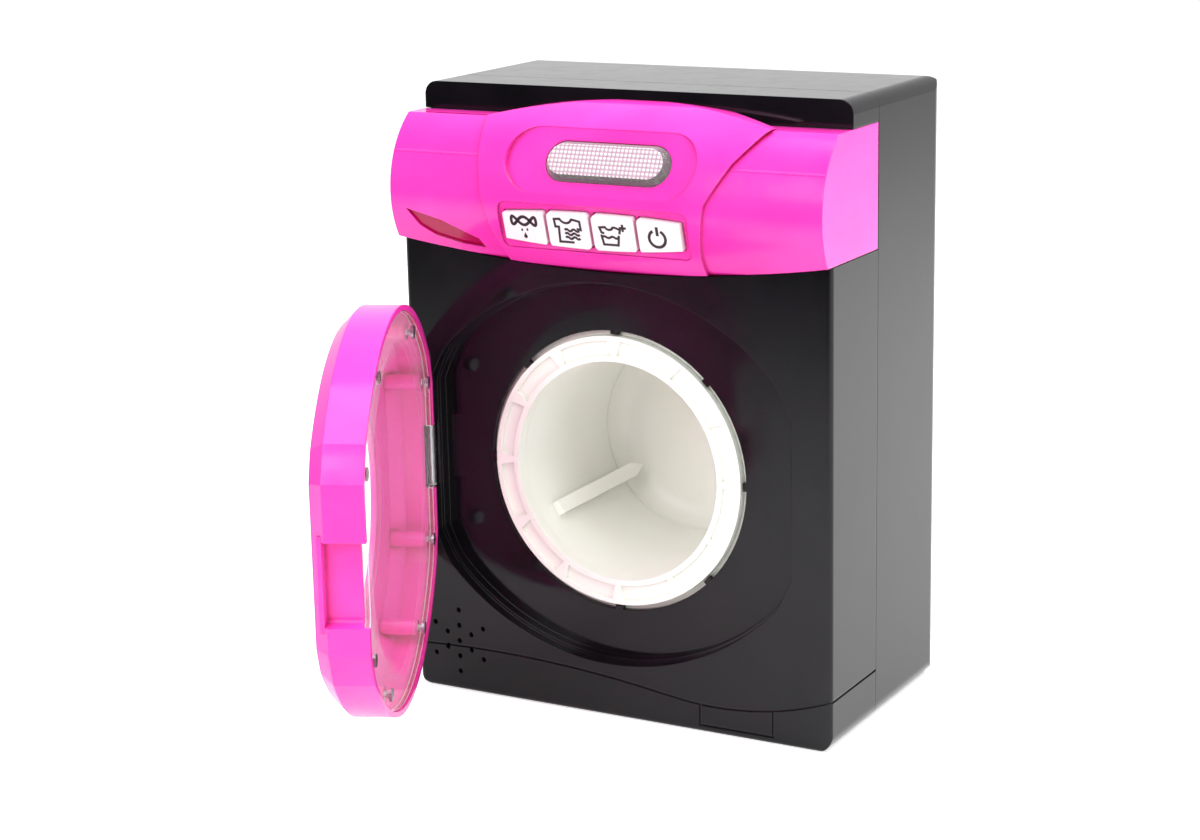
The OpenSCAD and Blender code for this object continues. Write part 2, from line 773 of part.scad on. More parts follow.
module door_ring_closed() {
    at_door() difference() {
        union() {
            difference() {
                door_block(door_gap, ring_front_y, ring_back_y, ring_bevel);
                door_block(door_gap + ring_wall, ring_front_y + ring_wall, ring_back_y + 1, ring_bevel);
            }
            // Rim round the window
            cyl_y(window_r + 4, ring_front_y + 0.5, ring_front_y + ring_wall + 0.2, $fn = 128);
            intersection() {
                at_door_bosses() cyl_y(3, ring_front_y + 1, liner_y - 0.02, $fn = 32);
                door_block(door_gap + 0.5, ring_front_y + 0.3, ring_back_y, ring_bevel);
            }
            // Pocket behind the finger notch
            intersection() {
                along_y(ring_front_y + 2.5, liner_y - 0.02) notch_outline(ring_wall);
                box(0, ring_half_w - 1, ring_front_y, ring_back_y, -notch_h, notch_h);
            }
        }
        cyl_y(window_r + 1.5, ring_front_y - 1, ring_back_y, $fn = 128);
        along_y(ring_front_y + 4, ring_back_y + 1) notch_outline(0);
        at_door_bosses() cyl_y(screw_r - 0.3, liner_y - 9, liner_y + 1, $fn = 24);
        // Slot through which the hinge knuckle leaves
        box(-ring_half_w - 1, -ring_half_w + ring_wall + 1, liner_y - 1, ring_back_y + 1,
            -knuckle_h / 2 - knuckle_gap, knuckle_h / 2 + knuckle_gap);
    }
}

module door_ring() {
    color(pink) opened() door_ring_closed();
}

module door_liner() {
    flange_back = liner_y + liner_t;
    color([0.9, 0.93, 0.97, 0.45]) opened() {
        at_door() difference() {
            union() {
                along_y(liner_y, flange_back) door_outline(door_gap + ring_wall + liner_gap);
                cone_y(window_r, dish_r + liner_t, window_y, flange_back, $fn = 128);
            }
            cone_y(window_r - liner_t, dish_r, window_y + liner_t, flange_back + eps, $fn = 128);
            at_door_bosses() cyl_y(screw_r - 0.2, liner_y - 1, flange_back + 1, $fn = 24);
            along_y(liner_y - 1, flange_back + 1) notch_outline(ring_wall + liner_gap);
        }
        // Hinge knuckle
        translate([0, 0, door_z]) difference() {
            union() {
                translate([hinge_x, hinge_y, 0]) cylinder(r = knuckle_r, h = knuckle_h, center = true, $fn = 32);
                box(hinge_x, hinge_x + 8, liner_y, flange_back, -knuckle_h / 2, knuckle_h / 2);
            }
            translate([hinge_x, hinge_y, 0])
                cylinder(r = hinge_pin_r + running, h = knuckle_h + 1, center = true, $fn = 32);
        }
    }
}

module door_screws() {
    color(steel) opened() at_door() at_door_bosses() {
        cyl_y(screw_r + 1, liner_y + liner_t, liner_y + liner_t + 0.9, $fn = 24);
        cyl_y(screw_r - 0.3, liner_y - 8, liner_y + liner_t, $fn = 24);
    }
}

module hinge_pin() {
    color(steel) translate([hinge_x, hinge_y, door_z])
        cylinder(r = hinge_pin_r, h = knuckle_h + 2 * pin_seat, center = true, $fn = 32);
}

// One paddle at the top of the drum: a flat bar that rises towards the back
module paddle() {
    front_r0 = mouth_r - paddle_low;
    back_r0 = drum_back_r - paddle_h;
    intersection() {
        linear_extrude(mouth_r + 1) polygon([
            [-paddle_w / 2, paddle_y], [paddle_w / 2, paddle_y], [paddle_w / 2, paddle_end_y - paddle_point],
            [0, paddle_end_y], [-paddle_w / 2, paddle_end_y - paddle_point]
        ]);
        along_x(-paddle_w, paddle_w) polygon([
            [paddle_y - 1, front_r0], [paddle_end_y, back_r0], [paddle_end_y, mouth_r + 1],
            [paddle_y - 1, mouth_r + 1]
        ]);
    }
}

module drum() {
    color(ivory) at_door() difference() {
        union() {
            cone_y(mouth_r + drum_wall, drum_back_r + drum_wall, drum_y, drum_end_y, $fn = 128);
            cyl_y(7, drum_end_y - 1, drum_end_y + 1.2, $fn = 48);
        }
        difference() {
            cone_y(mouth_r, drum_back_r, drum_y - eps, drum_back_y, $fn = 128);
            // Round corner at the back
            translate([0, drum_back_y, 0]) rotate([90, 0, 0]) rotate_extrude($fn = 128)
                difference() {
                    translate([drum_back_r - drum_corner_r, -eps]) square([drum_corner_r + 6, drum_corner_r]);
                    translate([drum_back_r - drum_corner_r, drum_corner_r]) circle(drum_corner_r, $fn = 48);
                }
            ring_of(paddle_count, paddle_start) paddle();
        }
        cyl_y(shaft_r, drum_back_y + shaft_seat, drum_end_y + 3, $fn = 48);
    }
}

module drum_ring() {
    color(ivory) at_door() difference() {
        union() {
            cyl_y(rim_r, rim_y, flange_y + eps, $fn = 128);
            cyl_y(flange_r, flange_y, flange_y + flange_t, $fn = 128);
        }
        cyl_y(mouth_r, rim_y - 1, flange_y + flange_t + 1, $fn = 128);
        ring_of(rim_pockets, 15) intersection() {
            difference() {
                cyl_y(rim_r - 1.8, rim_y - 1, rim_y + 1.2, $fn = 128);
                cyl_y(mouth_r + 2.2, rim_y - 2, rim_y + 2, $fn = 128);
            }
            rotate([0, -90, 0]) box(0, rim_r, rim_y - 1, rim_y + 1.2, -10.2, 10.2);
        }
    }
}

module at_train() {
    translate([door_x, 0, door_z]) rotate([0, train_angle, 0]) children();
}

// Involute gear outline. Each flank is a short run of points on the involute.
function involute(rb, t) = [rb * (cos(t) + t * PI / 180 * sin(t)), rb * (sin(t) - t * PI / 180 * cos(t))];
function turn(p, a) = [p[0] * cos(a) - p[1] * sin(a), p[0] * sin(a) + p[1] * cos(a)];
function inv_angle(a) = tan(a) * 180 / PI - a;
function roll_at(rb, r) = r <= rb ? 0 : sqrt(r * r / (rb * rb) - 1) * 180 / PI;

module gear_outline(z, phase) {
    rp = gear_m * z / 2;
    rb = rp * cos(pressure);
    ra = rp + 0.9 * gear_m;
    rf = rp - 1.2 * gear_m;
    r0 = max(rb, rf + 0.1);
    half = 90 / z - backlash / 4 / rp * 180 / PI + inv_angle(pressure);
    steps = 3;
    flank = [for (k = [0 : steps]) involute(rb, roll_at(rb, r0 + (ra - r0) * k / steps))];
    polygon([for (i = [0 : z - 1]) each concat(
        [turn([rf, 0], phase + (i - 0.5) * 360 / z + 40 / z)],
        [turn([rf, 0], phase + i * 360 / z - half)],
        [for (p = flank) turn(p, phase + i * 360 / z - half)],
        [for (k = [steps : -1 : 0]) turn([flank[k][0], -flank[k][1]], phase + i * 360 / z + half)],
        [turn([rf, 0], phase + i * 360 / z + half)]
    )]);
}

// A gear's outline is drawn in X and Z, so that angles grow from +X towards +Z.
module gear(z, phase, y0, y1) {
    along_y(y0, y1) gear_outline(z, phase);
}

module drum_gear() {
    color("#e9e6df") at_train() difference() {
        union() {
            gear(drum_z, 180 / drum_z, layer3_y, layer3_y + gear_t);
            cyl_y(5, layer2_y, layer3_y + eps, $fn = 48);
        }
        cyl_y(shaft_r, layer2_y - 1, train_back_y, $fn = 48);
    }
}

// The small wheel points a tooth at the wheel it drives; the large wheel points a gap
// back at its driver, which lies on the far side along the train.
module idler_gear_b() {
    color("#e9e6df") at_train() translate([idler_b_x, 0, 0]) difference() {
        union() {
            gear(idler_z, 180 / idler_z, layer2_y, layer2_y + gear_t);
            gear(pinion_z, 180, layer2_y + gear_t - eps, layer3_y + gear_t);
        }
        cyl_y(pin_r + running, layer2_y - 1, train_back_y, $fn = 48);
    }
}

module idler_gear_a() {
    color("#e9e6df") at_train() translate([idler_a_x, 0, 0]) difference() {
        union() {
            gear(idler_z, 180 / idler_z, layer1_y, layer1_y + gear_t);
            gear(pinion_z, 180, layer1_y + gear_t - eps, layer2_y + gear_t);
        }
        cyl_y(pin_r + running, layer1_y - 1, train_back_y, $fn = 48);
    }
}

module motor_pinion() {
    color("#e9e6df") at_train() translate([motor_x, 0, 0]) difference() {
        gear(pinion_z, 180, layer1_y, layer1_y + gear_t);
        cyl_y(motor_shaft_r, layer1_y - 1, layer2_y, $fn = 32);
    }
}

module motor_shaft() {
    color(steel) at_train() translate([motor_x, 0, 0])
        cyl_y(motor_shaft_r, motor_y - 1.5, layer1_y + gear_t, $fn = 32);
}

module motor() {
    color(steel) at_train() translate([motor_x, 0, 0]) difference() {
        union() {
            intersection() {
                cyl_y(10, motor_y, train_front_y, $fn = 64);
                box(-7.5, 7.5, motor_y, train_front_y, -11, 11);
            }
            cyl_y(3, motor_y - 1.2, motor_y, $fn = 32);
        }
        cyl_y(motor_shaft_r + running, motor_y - 3, train_front_y + 1, $fn = 32);
    }
}

module gearbox_plate(y0) {
    along_y(y0, y0 + plate_gear_t)
        rounded(-gearbox_back_x, -gearbox_half_w, motor_x + gearbox_end, gearbox_half_w, [8, 8, 8, 8]);
}

module gearbox_front() {
    color("#2a4a8c") at_train() difference() {
        union() {
            gearbox_plate(train_front_y);
            for (p = gearbox_posts) translate([p[0], 0, p[1]])
                cyl_y(3, train_front_y, train_back_y - 0.02, $fn = 32);
        }
        cyl_y(bush_r, train_front_y - 1, train_back_y, $fn = 48);
        for (x = [idler_a_x, idler_b_x]) translate([x, 0, 0]) cyl_y(pin_r, train_front_y - 1, train_back_y, $fn = 48);
        translate([motor_x, 0, 0]) cyl_y(3, train_front_y - 1, train_back_y, $fn = 32);
        for (p = gearbox_posts) translate([p[0], 0, p[1]]) cyl_y(1.1, train_front_y - 1, train_back_y + 1, $fn = 24);
    }
}

module gearbox_back() {
    color("#2a4a8c") at_train() difference() {
        gearbox_plate(train_back_y);
        cyl_y(bush_r, train_back_y - 1, train_back_y + 3, $fn = 48);
        for (x = [idler_a_x, idler_b_x]) translate([x, 0, 0]) cyl_y(pin_r, train_back_y - 1, train_back_y + 3, $fn = 48);
        for (p = gearbox_posts) translate([p[0], 0, p[1]]) cyl_y(1.1, train_back_y - 1, train_back_y + 3, $fn = 24);
    }
}

module gearbox_screws() {
    color(steel) at_train() for (p = gearbox_posts) translate([p[0], 0, p[1]]) {
        cyl_y(2, train_front_y - gear_head_t, train_front_y, $fn = 24);
        cyl_y(0.95, train_front_y, train_back_y + plate_gear_t + gear_head_t, $fn = 24);
    }
}

module idler_pins() {
    color(steel) at_train() for (x = [idler_a_x, idler_b_x]) translate([x, 0, 0])
        cyl_y(pin_r, train_front_y, train_back_y + plate_gear_t, $fn = 48);
}

module shaft_bushes() {
    color("#c8a45a") at_train() for (y = [train_front_y, train_back_y]) difference() {
        cyl_y(bush_r, y, y + plate_gear_t, $fn = 48);
        cyl_y(shaft_r + running, y - 1, y + plate_gear_t + 1, $fn = 48);
    }
}

module drum_shaft() {
    color(steel) at_train() cyl_y(shaft_r, drum_back_y + shaft_seat, train_back_y + plate_gear_t, $fn = 48);
}

module at_speaker() {
    translate([-half_w + speaker_x, front_y + wall, speaker_z]) children();
}

module speaker() {
    color("#3a3a3e") at_speaker() difference() {
        union() {
            cyl_y(speaker_r, 0.1, 2.2, $fn = 64);
            cone_y(speaker_r - 1.5, 8, 2.2, 5.5, $fn = 64);
            cyl_y(7, 5.5, 9, $fn = 64);
        }
        cyl_y(speaker_r - 1.2, 0, 1.2, $fn = 64);
    }
}

module speaker_cone() {
    color("#202022") at_speaker() difference() {
        cyl_y(speaker_r - 1.3, 0.3, 1.1, $fn = 64);
        cyl_y(4, 0, 0.8, $fn = 64);
    }
}

module speaker_clamp() {
    color("#2c2c30") at_speaker() difference() {
        intersection() {
            cyl_y(speaker_r + 1.6, 4.05, 5.2, $fn = 64);
            box(-speaker_x + wall + 0.5, 30, 0, 10, -speaker_z + wall + 0.5, 30);
        }
        cyl_y(speaker_r - 2.2, 2.5, 6, $fn = 64);
    }
}

module main_board() {
    color("#1f6b3a") difference() {
        union() {
            box(board_x[0] - 3, board_x[1] + 3, board_y[0] - 3, board_y[1] + 3, board_z, board_z + 1.6);
            translate([board_x[0], board_y[0], board_z + 1.6 - eps]) {
                translate([16, 13, 0]) cylinder(r = 5, h = 1.5, $fn = 48);
                translate([28, 21, 0]) cylinder(r = 2.5, h = 7, $fn = 32);
                translate([6, 21, 0]) cube([8, 6, 3]);
            }
        }
        for (x = board_x, y = board_y) translate([x, y, board_z - 1]) cylinder(r = 1.2, h = 4, $fn = 24);
    }
}

module board_screws() {
    color(steel) for (x = board_x, y = board_y) translate([x, y, 0]) {
        translate([0, 0, board_z + 1.6]) cylinder(r = 2, h = 1.2, $fn = 24);
        translate([0, 0, board_z - 3]) cylinder(r = 0.95, h = 4.6, $fn = 24);
    }
}

module battery_box() {
    z0 = wall;
    top = cell_z + cell_r + 0.4 + box_t;
    color("#1d1d20") difference() {
        box(-box_l / 2, box_l / 2, box_y, box_y + box_d, z0, top);
        box(-box_l / 2 + box_t, box_l / 2 - box_t, box_y + box_t, box_y + box_d - box_t, z0 - 1, top - box_t);
    }
}

function cell_y(i) = box_y + box_t + cell_gap + cell_r + i * (2 * cell_r + cell_gap);
module batteries() {
    color("#3f6fb5") for (i = [0 : cell_count - 1]) translate([0, cell_y(i), cell_z]) rotate([0, i % 2 == 0 ? 90 : -90, 0]) {
        cylinder(r = cell_r, h = cell_l - 1, center = true);
        cylinder(r = 2.6, h = cell_l / 2 + 0.5, $fn = 32);
    }
}

module battery_contacts() {
    color(steel) for (i = [0 : cell_count - 1], side = [-1, 1]) translate([side * (box_l / 2 - box_t - 0.4), cell_y(i), cell_z]) {
        cube([0.6, 10, 10], center = true);
        translate([-side * 0.9, 0, 0]) rotate([0, 90, 0]) cylinder(r = 3, h = 1.3, center = true, $fn = 24);
    }
}

module battery_cover() {
    color(casing) difference() {
        box(-box_l / 2 - 1 + cover_gap, box_l / 2 + 10 - cover_gap, box_y + box_t - 1.5 + cover_gap,
            box_y + box_d - box_t + 1.5 - cover_gap, 0, cover_t);
        translate([cover_screw_x, cover_screw_y, -1]) cylinder(r = 1.2, h = 4, $fn = 24);
    }
}

module battery_screw() {
    color(steel) translate([cover_screw_x, cover_screw_y, 0]) {
        translate([0, 0, 0.1]) cylinder(r = 1.15, h = 1, $fn = 24);
        translate([0, 0, 1]) cylinder(r = 0.95, h = 6, $fn = 24);
    }
}

module casing_screws() {
    color(steel) for (s = screw_spots) translate([s[0], 0, s[1]]) screw_y(well_y, split_y - 10);
}

front_shell();
rear_shell();
control_panel();
lens();
lamp_board();
button_towel();
button_shirt();
button_tub();
button_power();
key_mat();
switch_board();
panel_screws();
door_ring();
door_liner();
door_screws();
hinge_pin();
drum();
drum_ring();
drum_shaft();
drum_gear();
idler_gear_a();
idler_gear_b();
idler_pins();
motor();
motor_shaft();
motor_pinion();
gearbox_front();
gearbox_back();
gearbox_screws();
shaft_bushes();
speaker();
speaker_cone();
speaker_clamp();
main_board();
board_screws();
battery_box();
batteries();
battery_contacts();
battery_cover();
battery_screw();
casing_screws();
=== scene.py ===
"""Looks of the toy washing machine: moulded plastics, button symbols, lamp lens, stage and camera.
Metres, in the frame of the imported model: X right, Y back, Z up, origin in the middle of the underside."""

import json
import math

import bmesh
import bpy
from mathutils import Matrix, Vector


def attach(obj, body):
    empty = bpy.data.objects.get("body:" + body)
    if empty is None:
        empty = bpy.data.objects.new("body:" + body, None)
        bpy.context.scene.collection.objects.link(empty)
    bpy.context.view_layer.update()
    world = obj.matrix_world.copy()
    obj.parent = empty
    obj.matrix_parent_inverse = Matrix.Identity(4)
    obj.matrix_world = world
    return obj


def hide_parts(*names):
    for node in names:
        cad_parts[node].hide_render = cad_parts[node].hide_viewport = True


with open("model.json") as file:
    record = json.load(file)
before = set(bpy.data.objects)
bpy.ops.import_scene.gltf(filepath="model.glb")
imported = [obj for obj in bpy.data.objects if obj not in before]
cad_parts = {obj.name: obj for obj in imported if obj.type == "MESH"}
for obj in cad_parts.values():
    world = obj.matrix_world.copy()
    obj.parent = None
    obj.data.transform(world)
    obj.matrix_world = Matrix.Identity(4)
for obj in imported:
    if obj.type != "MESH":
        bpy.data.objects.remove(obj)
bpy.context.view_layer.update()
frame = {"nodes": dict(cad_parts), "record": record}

MM = 0.001

# The picture's size in pixels, and the camera as fitted to it: place in metres, angles in degrees
IMAGE_W = 1200
IMAGE_H = 840
SENSOR_W = 36
CAMERA_AT = (0.4415, -0.8446, 0.341)
CAMERA_YAW = 29.09
CAMERA_PITCH = 13.781
CAMERA_ROLL = 1.113
FOCAL_PX = 2583.2
CENTRE_PX = (610, 410)

# The control panel's bulge is a cylinder along X. The button tray and the lens are tilted round it
BULGE_R = 34 * MM
BULGE_CENTRE = Vector((0, -24 * MM, 194 * MM))
TRAY_X = -2 * MM
TRAY_TILT = -15.5
BUTTON_PITCH = 18.2 * MM
BUTTON_RISE = 2 * MM
PRINT_T = 0.05 * MM
LENS_X = 2.5 * MM
LENS_TILT = 26
BEAD_PITCH = 1.62 * MM
# The lens's face is what lies at least this far in front of the bulge
LENS_FACE_RISE = 1.7 * MM
# Depth, half width and half height of the lens's rings, from its foot to its face, in millimetres
LENS_RINGS = ((5.0, 26.9, 9.4), (4.02, 26.9, 9.4), (4.0, 24.95, 7.45), (1.2, 24.95, 7.45), (0.6, 24.6, 7.1),
    (-1.3, 23.3, 6.0), (-1.8, 22.9, 5.6), (-2.0, 22.4, 5.1))
# Crescent slot in the left wing, whose floor gets painted shade: the radius of its floor, and its middle
# and half width along X
SLOT_FLOOR_R = 33.1 * MM
SLOT_X = -65.2 * MM
SLOT_HALF_W = 16.5 * MM
# Line across each wing: its height, and the wing's middle and half width along X
WING_LINE_Z = 209 * MM
WING_MIDDLE_X = 68.6 * MM
WING_HALF_W = 18 * MM

# The batteries' gold bands begin this far from the middle, along X
BAND_X = 17 * MM

# The floor lies just below the toy, and its white paper ends between these depths in front of it
FLOOR_HALF = 6
FLOOR_Z = -0.2 * MM
PAPER_END = (-0.85, -0.35)
# The floor's glow where it is seen bare, where its paper is seen, and where its paper is mirrored
BARE_GLOW = 1.3
PAPER_GLOW = 0.62
MIRRORED_GLOW = 0.4
# The world's strength where it is seen, as light on the toy, and in reflections to the front and to
# the back, with the share of the way where the one goes over into the other
WORLD_SEEN = 1.1
WORLD_FILL = 0.5
WORLD_MIRRORED = (0.12, 1.0)
WORLD_FRONT_TO_BACK = (-0.4, 0.2)
# Lamps: name, place, target, width and power
TOY_MIDDLE = (0, 0, 0.11)
LAMPS = (
    ("overhead", (0.1, -0.5, 1.5), TOY_MIDDLE, 1.2, 13),
    ("right_side", (1.5, -0.3, 0.6), TOY_MIDDLE, 1.1, 8),
    ("front", (-0.2, -1.6, 0.9), TOY_MIDDLE, 0.8, 14),
    ("behind", (0.5, 0.45, 1.1), (0.42, 0.4, 0), 0.7, 16),
)


# Camera

def make_camera():
    yaw, pitch, roll = (math.radians(a) for a in (CAMERA_YAW, CAMERA_PITCH, CAMERA_ROLL))
    ahead = Vector((-math.sin(yaw) * math.cos(pitch), math.cos(yaw) * math.cos(pitch), -math.sin(pitch)))
    level = Vector((math.cos(yaw), math.sin(yaw), 0))
    right = Matrix.Rotation(roll, 3, ahead) @ level
    above = right.cross(ahead)
    data = bpy.data.cameras.new("camera")
    data.sensor_width = SENSOR_W
    data.lens = FOCAL_PX / IMAGE_W * SENSOR_W
    data.shift_x = (IMAGE_W / 2 - CENTRE_PX[0]) / IMAGE_W
    data.shift_y = (CENTRE_PX[1] - IMAGE_H / 2) / IMAGE_W
    data.clip_start = 0.01
    camera = bpy.data.objects.new("camera", data)
    turn = Matrix((right, above, -ahead)).transposed()
    camera.matrix_world = Matrix.Translation(CAMERA_AT) @ turn.to_4x4()
    bpy.context.scene.collection.objects.link(camera)
    bpy.context.scene.camera = camera


# Materials

def add_node(tree, kind, inputs=None, **settings):
    """Adds a node. Each input is a value, or an output that is linked to it."""
    node = tree.nodes.new(kind)
    for key, value in settings.items():
        setattr(node, key, value)
    for key, value in (inputs or {}).items():
        if isinstance(value, bpy.types.NodeSocket):
            tree.links.new(value, node.inputs[key])
        else:
            node.inputs[key].default_value = value
    return node


class Nodes:
    """A short way to write a material's nodes and the links between them."""

    def __init__(self, name):
        self.material = bpy.data.materials.new(name)
        self.material.use_nodes = True
        self.tree = self.material.node_tree
        self.shader = self.tree.nodes["Principled BSDF"]
        self.place = self.add("ShaderNodeTexCoord").outputs["Object"]

    def add(self, kind, inputs=None, **settings):
        return add_node(self.tree, kind, inputs, **settings)

    def vector(self, operation, a, b=(0, 0, 0)):
        return self.add("ShaderNodeVectorMath", {0: a, 1: b}, operation=operation).outputs

    def split(self, place):
        """The X, Y and Z of a place."""
        return self.add("ShaderNodeSeparateXYZ", {0: place}).outputs

    def noise(self, scale, detail=2.0, roughness=0.5, stretch=(1, 1, 1)):
        place = self.add("ShaderNodeMapping", {"Vector": self.place, "Scale": stretch})
        return self.add("ShaderNodeTexNoise", {"Vector": place.outputs[0], "Scale": scale,
            "Detail": detail, "Roughness": roughness}).outputs["Fac"]

    def spread(self, value, low, high, source=(0.3, 0.7)):
        """Carries the source's span over to the span from low to high, and stays within it."""
        return self.add("ShaderNodeMapRange", {"Value": value, "From Min": source[0],
            "From Max": source[1], "To Min": low, "To Max": high}).outputs["Result"]

    def math(self, operation, a, b=0.0):
        return self.add("ShaderNodeMath", {0: a, 1: b}, operation=operation).outputs[0]

    def blend(self, share, low, high):
        node = self.add("ShaderNodeMix", {"Factor": share}, data_type="RGBA")
        for socket, value in ((node.inputs[6], low), (node.inputs[7], high)):
            if isinstance(value, bpy.types.NodeSocket):
                self.tree.links.new(value, socket)
            else:
                socket.default_value = (*value, 1)
        return node.outputs[2]

    def bump(self, height, distance, normal=None):
        inputs = {"Height": height, "Distance": distance}
        if normal is not None:
            inputs["Normal"] = normal
        return self.add("ShaderNodeBump", inputs).outputs["Normal"]

    def rounded_edges(self, radius):
        return self.add("ShaderNodeBevel", {"Radius": radius}, samples=6).outputs["Normal"]

    def facing(self):
        """0 where a surface is seen square on, and 1 at its rims."""
        return self.add("ShaderNodeLayerWeight", {"Blend": 0.35}).outputs["Facing"]

    def finish(self, links, constants):
        for key, value in links.items():
            self.tree.links.new(value, self.shader.inputs[key])
        for key, value in constants.items():
            self.shader.inputs[key].default_value = value
        return self.material


def plastic(name, colour, shade, rough, wave=0.0, grain=0.0, edge=0.0, crease_shade=None, painted_shade=None,
        ridge=None, constants=None):
    """Moulded plastic. shade is the colour of its deeper patches; the crease colour is painted shade that
    darkens its corners, creases and gaps, and the painted-shade pair is a share and the colour of painted
    shade laid there; rough is the span of its roughness; wave, grain, ridge and edge are the mould's slow
    waves, its fine texture, a raised line given by its share and its height, and its edge radius, in
    metres."""
    n = Nodes(name)
    patches = n.noise(45, 3)
    smears = n.noise(130, 4, 0.6, (1, 1, 0.35))
    normal = n.rounded_edges(edge) if edge else None
    if wave:
        normal = n.bump(n.noise(28, 1, stretch=(0.5, 0.5, 1)), wave, normal)
    if grain:
        normal = n.bump(n.noise(1800, 2), grain, normal)
    if ridge:
        normal = n.bump(ridge[0](n), ridge[1], normal)
    tint = n.blend(n.spread(patches, 0, 1), colour, shade)
    # Painted shade: ambient occlusion darkens corners, creases and gaps towards the crease colour
    if crease_shade:
        open_share = n.add("ShaderNodeAmbientOcclusion", {"Distance": 2.5 * MM}, samples=6).outputs["AO"]
        tint = n.blend(n.spread(open_share, 0, 1, (0.3, 0.9)), crease_shade, tint)
    # Painted shade laid on by a mask, such as the dark red on the floor of the wing's crescent slot
    if painted_shade:
        tint = n.blend(painted_shade[0](n), tint, painted_shade[1])
    links = {"Base Color": tint, "Roughness": n.spread(smears, *rough)}
    if normal is not None:
        links["Normal"] = normal
    return n.finish(links, constants or {})


def wing_slot_floor(n):
    """Where painted shade darkens the floor of the crescent slot in the left wing: 1 there, and 0
    elsewhere.
    """
    arm = n.vector("SUBTRACT", n.place, BULGE_CENTRE)[0]
    radius = n.vector("LENGTH", n.vector("MULTIPLY", arm, (0, 1, 1))[0])["Value"]
    away = n.math("ABSOLUTE", n.math("SUBTRACT", radius, SLOT_FLOOR_R))
    across = n.math("ABSOLUTE", n.math("SUBTRACT", n.split(n.place)["X"], SLOT_X))
    return n.math("MULTIPLY", n.spread(away, 1, 0, (0.3 * MM, 0.45 * MM)),
        n.math("LESS_THAN", across, SLOT_HALF_W))


def wing_line(n):
    """The line across each wing beside the raised plate: 1 on it, and 0 elsewhere."""
    parts = n.split(n.place)
    away = n.math("ABSOLUTE", n.math("SUBTRACT", parts["Z"], WING_LINE_Z))
    beside = n.math("ABSOLUTE", n.math("SUBTRACT", n.math("ABSOLUTE", parts["X"]), WING_MIDDLE_X))
    return n.math("MULTIPLY", n.spread(away, 1, 0, (0.1 * MM, 0.6 * MM)),
        n.math("LESS_THAN", beside, WING_HALF_W))


def clear_plastic(name, colour, rough):
    """Thin clear plastic: open where it is seen square on, and paler along its edges and rims, where its
    white is a painted reflection.
    """
    n = Nodes(name)
    straight = n.add("ShaderNodeNewGeometry").outputs["Normal"]
    flatness = n.vector("DOT_PRODUCT", n.rounded_edges(0.9 * MM), straight)["Value"]
    # Painted reflection: the white shows more towards the rims and along the rounded edges
    rims = n.spread(n.facing(), 0.06, 0.4, (0.6, 1))
    edges = n.spread(flatness, 0.95, 0, (0.85, 0.995))
    links = {"Roughness": n.spread(n.noise(200, 3), *rough), "Alpha": n.math("MAXIMUM", rims, edges)}
    return n.finish(links, {"Base Color": (*colour, 1), "IOR": 1.6})


def metal(name, colour, shade, rough, stretch):
    """Bare metal with fine lines, drawn out along one axis by the stretch."""
    n = Nodes(name)
    lines = n.noise(900, 3, 0.6, stretch)
    links = {"Base Color": n.blend(n.noise(150, 3), colour, shade),
        "Roughness": n.spread(lines, *rough),
        "Normal": n.bump(lines, 0.01 * MM)}
    return n.finish(links, {"Metallic": 1.0})


def circuit_board(name):
    """Green lacquer with paler copper tracks under it."""
    n = Nodes(name)
    tracks = n.add("ShaderNodeTexVoronoi", {"Vector": n.place, "Scale": 260},
        feature="DISTANCE_TO_EDGE", distance="MANHATTAN").outputs["Distance"]
    share = n.spread(tracks, 1, 0, (0.05, 0.09))
    links = {"Base Color": n.blend(share, (0.01, 0.11, 0.04), (0.04, 0.26, 0.1)),
        "Normal": n.bump(share, 0.03 * MM)}
    return n.finish(links, {"Roughness": 0.3})


def battery_sleeve(name):
    """Printed blue sleeve with a gold band at each end of the row of cells."""
    n = Nodes(name)
    band = n.math("GREATER_THAN", n.math("ABSOLUTE", n.split(n.place)["X"]), BAND_X)
    scuffs = n.spread(n.noise(300, 4), 0.25, 0.4)
    return n.finish({"Base Color": n.blend(band, (0.03, 0.12, 0.42), (0.55, 0.36, 0.1)),
        "Roughness": scuffs}, {"Metallic": 0.6})


def lamp_lens(name):
    """Clear lens with a grid of small beads moulded over its face, painted light on their tops and painted
    shade between them.
    """
    n = Nodes(name)
    tilted = n.add("ShaderNodeMapping", {"Vector": n.place, "Location": -BULGE_CENTRE},
        vector_type="POINT").outputs[0]
    turned = n.add("ShaderNodeVectorRotate", {"Vector": tilted, "Angle": math.radians(LENS_TILT)},
        rotation_type="X_AXIS").outputs[0]
    parts = n.split(turned)
    across = n.math("PINGPONG", parts["X"], BEAD_PITCH / 2)
    up = n.math("PINGPONG", parts["Z"], BEAD_PITCH / 2)
    bead = n.math("MULTIPLY", n.math("MULTIPLY", across, up), 4 / BEAD_PITCH ** 2)
    front = n.math("LESS_THAN", parts["Y"], -BULGE_R - LENS_FACE_RISE)
    height = n.math("MULTIPLY", bead, front)
    # Painted highlight on the beads' tops and painted shade, pinkish, in the gaps between them
    beads = n.blend(n.spread(height, 0, 1, (0.05, 0.5)), (0.58, 0.36, 0.47), (1, 0.98, 0.99))
    skirt = n.spread(n.facing(), 0.12, 0.6, (0.3, 1))
    links = {"Base Color": n.blend(front, (1.0, 0.78, 0.9), beads),
        "Normal": n.bump(height, 0.6 * MM),
        "Alpha": n.math("MAXIMUM", skirt, n.math("MULTIPLY", front, 0.9))}
    return n.finish(links, {"IOR": 1.6, "Roughness": 0.1})


